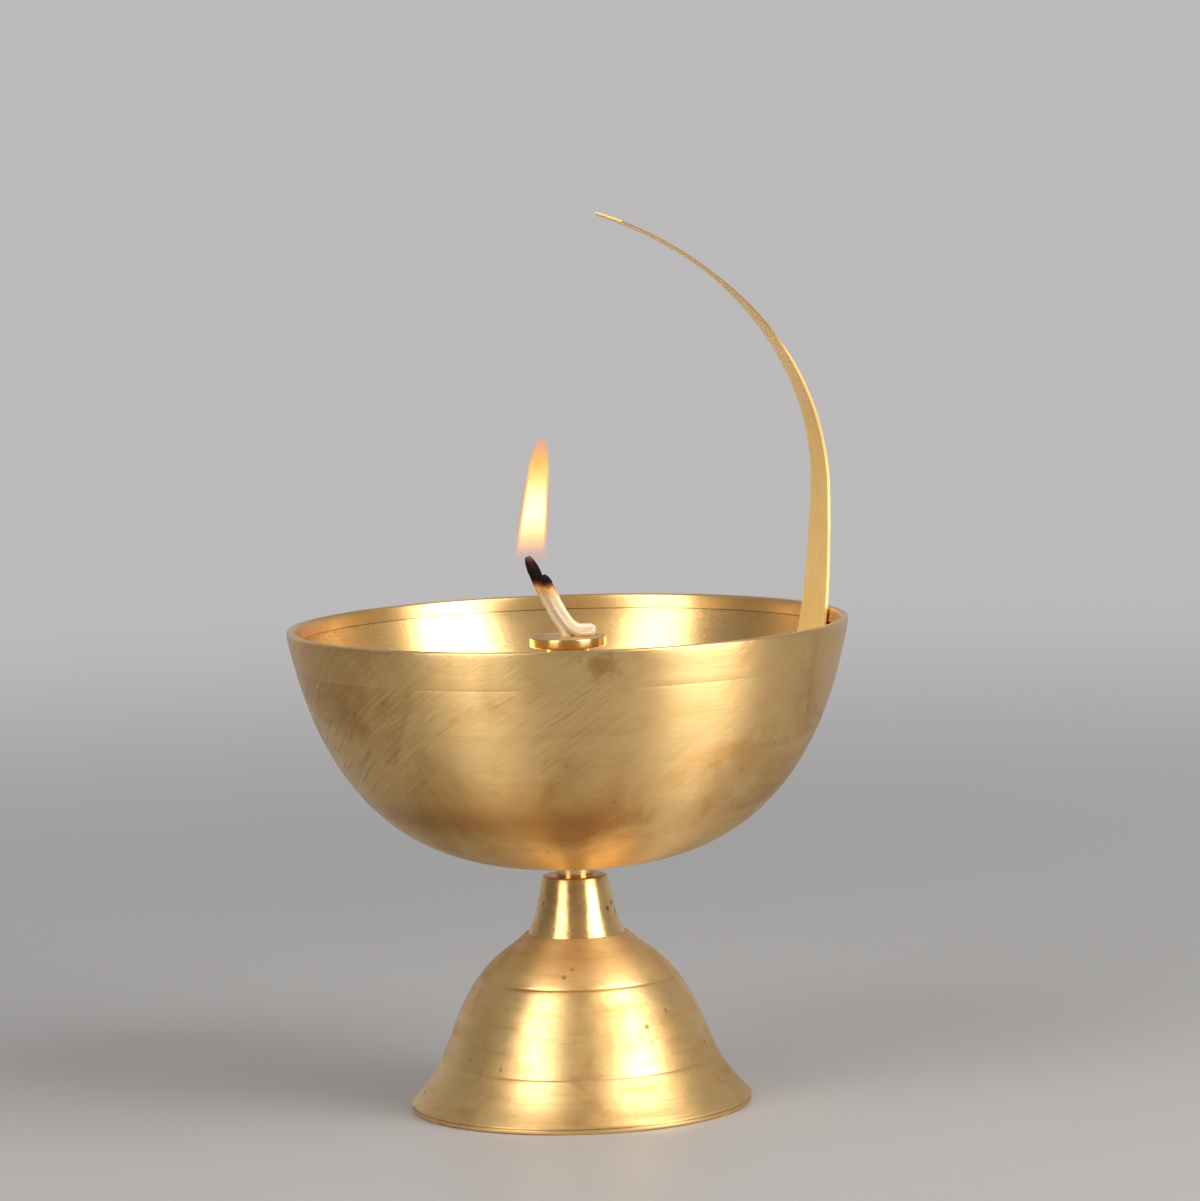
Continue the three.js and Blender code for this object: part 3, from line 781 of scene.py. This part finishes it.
def brushed_bowl():
    """The bowl's outside: turned, brushed by hand, cloudy, and stained below the rim in front."""
    n = Nodes("bowl_outside")
    z = n.height()
    colour, clouds, speck = aged(n, dark_share=0.75, specks=0.35, blotch_scale=34.0)
    rings, worn = turning(n, rise=1), wear(n, rise=1)
    fine, broad = brushing(n, STROKE_SLOPE, *FINE_STROKE), brushing(n, BROAD_STROKE_SLOPE, *BROAD_STROKE)
    where = n.span(n.noise(n.place, 22, detail=3.0), 0.36, 0.6, to_low=0.4)
    strokes = n.plus(fine, n.times(broad, BROAD_STROKE_SHARE))
    strokes = n.times(strokes, where, n.span(z, *BOWL_TURNED_BELOW))
    colour = n.mix(n.times(n.span(worn, 0.48, 0.7), 0.3), colour, BRASS_DARK)
    colour = n.mix(n.times(n.span(strokes, *STROKE_EDGE), 0.4), colour, BRASS_BROWN)
    colour = n.mix(n.times(n.span(strokes, *(-s for s in STROKE_EDGE)), 0.6), colour, BRASS_PALE)
    # A band round the bowl at this height is darker brown where the clouds are.
    dark_band = n.times(n.band(z, BOWL_DARK_BAND_HEIGHT, BOWL_DARK_BAND_REACH), n.span(clouds, 0.35, 0.6))
    colour = n.mix(n.times(dark_band, 0.5), colour, BRASS_BROWN)
    upper = n.span(z, *BOWL_RING_EDGES)
    colour = n.mix(n.times(upper, 0.35), colour, BRASS)
    from_stain = n.add("ShaderNodeVectorMath", {0: n.place, 1: STAIN_PLACE}, operation="DISTANCE")
    ragged = n.times(n.about_zero(n.noise(n.place, 300, detail=5.0, roughness=0.7)), STAIN_RAGGED)
    stain = n.span(n.plus(from_stain.outputs["Value"], ragged), STAIN_SIZE, STAIN_HEART)
    colour = n.mix(n.times(stain, 0.6), colour, BRASS_BROWN)
    rough = n.plus(n.span(clouds, *CLOUD_RANGE, *BOWL_ROUGHNESS), n.times(strokes, 0.4), n.times(speck, 0.15),
                   n.times(n.about_zero(worn), 0.15), n.times(upper, -0.04))
    normal = n.bump(rings, 0.05)
    normal = n.bump(worn, 0.10, normal, BOWL_WEAR_RELIEF)
    normal = n.bump(strokes, 0.14, normal, STROKE_RELIEF)
    scratch = n.span(n.math("ABSOLUTE", broad), *SCRATCH_EDGE)
    normal = n.bump(n.times(scratch, where), -0.15, normal)
    turn = ACROSS_RINGS + STROKE_SLOPE * STROKE_PULL / (2 * math.pi)
    return metal(n, colour, rough, normal, BOWL_ANISOTROPY, turn)


def strip_brass(name, edge=False):
    """The handle's brass, brushed along its length. Its edges carry a painted dark reflection above the
    flame, but for the tip.
    """
    n = Nodes(name)
    x, _, z = n.parts(n.place)
    around, along = n.around_and_along()
    colour, clouds, _ = aged(n, dark_share=0.2, specks=0.25, blotch_scale=80.0)
    colour = n.mix(0.85, colour, BRASS_PALE)
    grain = n.noise(n.vector(n.times(around, STRIP_GRAIN[0]), n.times(along, STRIP_GRAIN[1])), roughness=0.6)
    colour = n.mix(n.times(n.span(grain, 0.45, 0.7), 0.2), colour, BRASS_DARK)
    rougher = n.span(z, STRIP_DARK_EDGE_FROM - STRIP_ROUGH_BELOW, STRIP_DARK_EDGE_FROM, to_high=STRIP_TOP_ROUGHER)
    rough = n.plus(n.span(clouds, *CLOUD_RANGE, *STRIP_ROUGHNESS), n.times(n.about_zero(grain), 0.12),
                   rougher)
    if edge:
        # Above the flame the edges are painted dark brown, a painted reflection of dark surroundings; the
        # filed tip is left out.
        over = n.times(n.span(z, STRIP_DARK_EDGE_FROM, STRIP_DARK_EDGE_FROM + STRIP_DARK_EDGE_FADE),
                       n.span(x, STRIP_FILED_FROM, STRIP_FILED_FROM + STRIP_FILED_FADE))
        colour = n.mix(n.times(over, 0.65), colour, EDGE_PAINTED_REFLECTION)
    else:
        # Towards the top the broad faces are painted paler: painted light.
        pale = n.span(z, STRIP_DARK_EDGE_FROM - STRIP_PAINTED_LIGHT_BELOW, STRIP_DARK_EDGE_FROM + STRIP_PAINTED_LIGHT_ABOVE,
                      to_high=0.8)
        colour = n.mix(pale, colour, BRASS_PAINTED_LIGHT)
    tangent = n.add("ShaderNodeTangent", direction_type="UV_MAP", uv_map="surface").outputs[0]
    return metal(n, colour, rough, n.bump(grain, 0.02), STRIP_ANISOTROPY, 0.0, tangent)


def cotton():
    """Twisted cotton that darkens through orange brown to black char towards its lit end."""
    n = Nodes("cotton")
    around, along = n.around_and_along()
    slanted = n.times(n.plus(along, n.times(around, FIBRE_SLANT)), FIBRES_ALONG)
    threads = n.vector(n.times(around, FIBRES_AROUND), slanted)
    fibres = n.noise(threads, detail=4.0, roughness=0.75, distortion=0.4)
    fluff = n.noise(n.place, 1700, detail=3.0, roughness=0.7)
    uneven = n.times(n.about_zero(n.noise(n.place, 500, detail=3.0, roughness=0.6)), CHAR_WANDERS)
    height = n.plus(n.height(), uneven)
    colour = n.mix(n.span(fibres, 0.35, 0.7), COTTON_PALE, COTTON_SHADED)
    colour = n.mix(n.times(n.span(n.noise(n.place, 240), 0.5, 0.7), 0.5), colour, COTTON_OILED)
    for limits, burnt in ((SINGED_SPAN, COTTON_SINGED), (SCORCHED_SPAN, COTTON_SCORCHED), (CHAR_SPAN, CHAR),
                          (ASHY_SPAN, CHAR_ASHY)):
        colour = n.mix(n.span(height, *limits), colour, burnt)
    normal = n.bump(fibres, 1.0, distance=0.0006)
    normal = n.bump(fluff, 0.5, normal, distance=0.0003)
    return n.finish(n.add("ShaderNodeBsdfPrincipled", {
        "Base Color": colour, "Roughness": 0.95, "Normal": normal, "Specular IOR Level": 0.2,
    }))


def pressed_fibre():
    n = Nodes("fibre")
    flecks = n.noise(n.place, 1400, detail=4.0, roughness=0.7)
    colour = n.mix(n.span(flecks, 0.35, 0.65), FIBRE_LIGHT, FIBRE_DARK)
    return n.finish(n.add("ShaderNodeBsdfPrincipled", {
        "Base Color": colour, "Roughness": 0.85, "Normal": n.bump(flecks, 0.4),
    }))


def flame_light(name, low, high, solidity, strength, clear):
    """Glowing gas that is clear at the foot of the flame and thins out towards its tip."""
    n = Nodes(name)
    ragged = n.plus(n.height(), n.times(n.about_zero(n.noise(n.place, 260)), FLAME_WANDERS))
    colour = n.mix(n.span(ragged, *FLAME_WHITENS), low, high)
    colour = n.mix(n.span(ragged, *FLAME_YELLOWS), colour, FLAME_YELLOW)
    colour = n.mix(n.span(ragged, *FLAME_REDDENS), colour, FLAME_RED)
    if strength > FLAME_TIP_STRENGTH:
        strength = n.span(ragged, *FLAME_DIMS, strength, FLAME_TIP_STRENGTH)
    clears = (FLAME_FOOT[2] + clear * FLAME_CLEAR_SHARE, FLAME_FOOT[2] + clear)
    shown = n.times(n.span(ragged, *clears), n.span(ragged, *FLAME_THINS), solidity)
    return n.finish(n.add("ShaderNodeBsdfPrincipled", {
        "Base Color": rgb(0, 0, 0), "Roughness": 1.0, "Specular IOR Level": 0.0,
        "Emission Color": colour, "Emission Strength": strength, "Alpha": shown,
    }))


# The handle

def strip_stations():
    """The CAD strip's line, as reach, height and half width, with its azimuth and thickness."""
    mesh = frame["nodes"]["handle_blade"].data
    middle = sum((v.co for v in mesh.vertices), Vector()) / len(mesh.vertices)
    azimuth = math.atan2(middle.y, middle.x)
    turn = Matrix.Rotation(-azimuth, 3, "Z")
    points = [turn @ v.co for v in mesh.vertices]
    root = max(p.y for p in points)
    stations = {}
    for edge in mesh.edges:
        a, b = (points[i] for i in edge.vertices)
        level = abs(a.y - b.y) < STRIP_LEVEL and a.y > 0
        by_hole = a.y < STRIP_HOLES_REACH and a.z < RIM_HEIGHT
        if level and not by_hole and (a - b).length < root * STRIP_EDGE_SHARE:
            centre = (a + b) / 2
            place = Vector((centre.x, centre.z, a.y))
            stations[round(centre.z, PROFILE_DECIMALS)] = (place, (a - b).length)
    rows = [stations[z] for z in sorted(stations)]
    return [point for point, _ in rows], azimuth, rows[0][1]


def strip_section(centre, lean, azimuth, half_width, half_thickness, twist):
    """A rounded rectangle across the strip. lean is the strip's own direction, as reach and height."""
    corner = min(STRIP_CORNER, half_width / 2, half_thickness / 2)
    away = Vector((math.cos(azimuth), math.sin(azimuth), 0))
    twisted = Matrix.Rotation(twist, 3, away * lean.x + UP * lean.y)
    side = twisted @ Vector((-math.sin(azimuth), math.cos(azimuth), 0))
    face = twisted @ (away * lean.y - UP * lean.x)
    points = []
    for quarter, (a, b) in enumerate(((1, 1), (-1, 1), (-1, -1), (1, -1))):
        for k in range(STRIP_CORNER_STEPS + 1):
            turn = math.pi / 2 * (quarter + k / STRIP_CORNER_STEPS)
            across = a * (half_width - corner) + corner * math.cos(turn)
            out = b * (half_thickness - corner) + corner * math.sin(turn)
            points.append(away * centre.x + UP * centre.y + side * across + face * out)
    return points


def handle():
    stations, azimuth, thickness = strip_stations()
    line = smoothed(stations, False, STRIP_STEPS)
    low, high = STRIP_THINS
    sections = []
    for i, point in enumerate(line):
        lean = ahead_at(line, i).to_2d().normalized()
        part = min(1.0, max(0.0, (point.y - low) / (high - low)))
        thick = thickness + (STRIP_TIP_THICKNESS - thickness) * part
        sections.append(strip_section(point, lean, azimuth, point.z, thick / 2, STRIP_TWIST * part))
    piece = swept("handle", sections, strip_brass("strip_brass"))
    side = Vector((-math.sin(azimuth), math.cos(azimuth), 0))
    edge = strip_brass("strip_edge", edge=True)
    repaint(piece, edge, lambda centre, normal: abs(normal.dot(side)) > STRIP_FACES_SIDE)
    return seated(piece, "handle_blade")


# The wick and its flame

def on_disc(points):
    """Route points in millimetres, lifted onto the disc."""
    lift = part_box("wick_disc")[1].z + STRAND_LIFT + STRAND_RADIUS
    return [Vector((x * MM, y * MM, z * MM + lift)) for x, y, z in points]


def strand(name, node, route, material, ends):
    """A cotton strand with twisted ridges and drawn-in ends."""
    line = smoothed(route, False, STRAND_STEPS, math.pi)
    distances = [0.0]
    for a, b in zip(line, line[1:]):
        distances.append(distances[-1] + (b - a).length)
    sections = []
    for i, (point, gone) in enumerate(zip(line, distances)):
        ahead = ahead_at(line, i).normalized()
        side = (Vector((0, 1, 0)) - ahead * ahead.y).normalized()
        over = ahead.cross(side)
        draw = 1.0
        for (reach, share), left in zip(ends, (gone, distances[-1] - gone)):
            draw *= 1 - (1 - share) * max(0.0, 1 - left / reach) ** STRAND_DRAW_CURVE
        ring = []
        for turn in angles(STRAND_SIDES):
            way = side * math.cos(turn) + over * math.sin(turn)
            ridge = math.cos(FIBRE_RIDGES * turn + STRAND_TWIST * gone)
            lumps = (noise.noise((point + way * STRAND_RADIUS) * SMALL_LUMPS)
                     + LARGE_LUMP_WEIGHT * noise.noise(point * LARGE_LUMPS))
            swell = STRAND_FLUFF + RIDGE_SHARE * ridge + LUMP_SHARE * lumps
            ring.append(point + way * STRAND_RADIUS * draw * swell)
        sections.append(ring)
    return seated(swept(name, sections, material), node)


def flame_shell(name, share, material):
    """One closed skin of the flame, drawn in to a share of its width, with a leaning middle line."""
    foot, tip = Vector(FLAME_FOOT), Vector(FLAME_TIP)
    widths = smoothed([Vector(w) for w in FLAME_WIDTHS], False, FLAME_WIDTH_STEPS, math.pi)
    sections = []
    for i in range(FLAME_STEPS):
        t = i / (FLAME_STEPS - 1)
        low = max((w for w in widths if w.x <= t), key=lambda w: w.x)
        high = min((w for w in widths if w.x >= t), key=lambda w: w.x)
        part = (t - low.x) / (high.x - low.x) if high.x > low.x else 0.0
        rounded = min(1.0, math.sqrt(t * FLAME_ROUNDS_OUT + FLAME_FOOT_SHARE))
        half = max(FLAME_LEAST_HALF, (low.y + (high.y - low.y) * part) * rounded * share)
        centre = foot.lerp(tip, 0.5 + (t - 0.5) * (1 - (1 - share) * FLAME_SHORTENING))
        sections.append([centre + Vector((math.cos(a), math.sin(a), 0)) * half for a in angles(FLAME_SIDES)])
    piece = swept(name, sections, material)
    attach(piece, BODY_OF["wick_strand"])
    return piece


# The floor, the sky and the lamps

def surround(n, direction):
    """The room's light from a direction: pale behind the lamp and dimmer at its sides and overhead."""
    x, y, z = n.parts(direction)
    beside = n.mix(n.span(x, *LEFT_TO_RIGHT), LEFT_COLOUR, RIGHT_COLOUR)
    level = n.mix(n.span(y, *SIDES_TO_BACK), beside, BACKDROP_COLOUR)
    return n.mix(n.span(z, *LEVEL_TO_ABOVE), level, OVERHEAD_COLOUR)


def floor():
    """A pale floor that melts into the surroundings with distance."""
    n = Nodes("floor")
    x, y = n.parts(n.place)[:2]
    direction = n.add("ShaderNodeVectorMath", {0: n.vector(x, y)}, operation="NORMALIZE").outputs[0]
    mottled = n.noise(n.place, 9, detail=6.0, roughness=0.65)
    shade = n.mix(mottled, FLOOR_COLOUR, tuple(c * FLOOR_MOTTLE for c in FLOOR_COLOUR))
    normal = n.bump(n.noise(n.place, 300, detail=4.0, roughness=0.7), 0.05, distance=0.001)
    near = n.add("ShaderNodeBsdfPrincipled", {"Base Color": shade, "Roughness": 0.5, "Normal": normal})
    far = n.add("ShaderNodeEmission", {"Color": surround(n, direction), "Strength": 1.0})
    melt = n.span(n.radius(), *FLOOR_MELTS)
    n.finish(n.add("ShaderNodeMixShader", {0: melt, 1: near.outputs[0], 2: far.outputs[0]}))
    corners = [(x * FLOOR_SIZE, y * FLOOR_SIZE, 0) for x, y in ((-1, -1), (1, -1), (1, 1), (-1, 1))]
    new_piece("floor", corners, [(0, 1, 2, 3)], n.material)


def sky():
    world = bpy.data.worlds.new("sky")
    world.use_nodes = True
    n = Nodes("sky", world.node_tree)
    colour = surround(n, n.coordinates.outputs["Generated"])
    n.finish(n.add("ShaderNodeBackground", {"Color": colour, "Strength": 1.0}), "ShaderNodeOutputWorld")
    bpy.context.scene.world = world
    bpy.context.scene.view_settings.view_transform = "Standard"


def soft_lamp(name, azimuth, elevation, distance, width, height, power):
    a, e = math.radians(azimuth), math.radians(elevation)
    away = Vector((math.sin(a) * math.cos(e), -math.cos(a) * math.cos(e), math.sin(e)))
    data = bpy.data.lights.new(name, "AREA")
    data.shape = "RECTANGLE"
    data.size = width
    data.size_y = height
    data.energy = power
    lamp = bpy.data.objects.new(name, data)
    lamp.location = LAMPS_AIM + away * distance
    lamp.rotation_mode = "QUATERNION"
    lamp.rotation_quaternion = away.to_track_quat("Z", "Y")
    bpy.context.scene.collection.objects.link(lamp)


camera()

brass = {name: turned_brass(name, **looks) for name, looks in FINISHES.items()}
cotton_finish = cotton()

fine_turned("foot_bell", "bell", brass["bell_brass"], BELL_RING_SOFTENING)
fine_turned("neck_collar", "neck", brass["neck_brass"])
fine_turned("seat_washer", "washer", brass["bright_brass"])
fine_turned("bowl_stud", "stud", brass["bright_brass"])
fine_turned("floor_seal", "seal", pressed_fibre())
bowl = fine_turned("bowl", "oil_bowl", brushed_bowl(), BOWL_RING_SOFTENING)
repaint(bowl, brass["bowl_inside"], faces_axis)
repaint(bowl, brass["rim_brass"], on_rim)
disc = fine_turned("wick_disc", "disc", brass["disc_edge"], flange=DISC_FLANGE)
repaint(disc, brass["disc_top"], lambda centre, normal: normal.z > DISC_FACES_UP)
smooth_copy("foot_nut", "nut", brass["bell_brass"], NUT_EASED)
smooth_copy("wick_post", "post", brass["bright_brass"], POST_EASED)
smooth_copy("handle_rivet_1", "rivet_1", brass["rim_brass"])
smooth_copy("handle_rivet_2", "rivet_2", brass["rim_brass"])
handle()

# The wick starts at the foot of its solid and runs up the middle of the disc's sleeve
sleeve_line = [Vector((0, 0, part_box(node)[0].z)) for node in ("wick_strand", "wick_disc")]
strand("wick_main", "wick_strand", sleeve_line + on_disc(WICK_ROUTE), cotton_finish, WICK_ENDS)
strand("wick_side", "wick_side_strand", on_disc(SIDE_STRAND_ROUTE), cotton_finish, SIDE_STRAND_ENDS)

for i, (share, *looks) in enumerate(FLAME_SHELLS):
    flame_shell(f"flame_{i + 1}", share, flame_light(f"flame_{i + 1}", *looks))

floor()
sky()
for name, settings in LAMPS.items():
    soft_lamp(name, *settings)
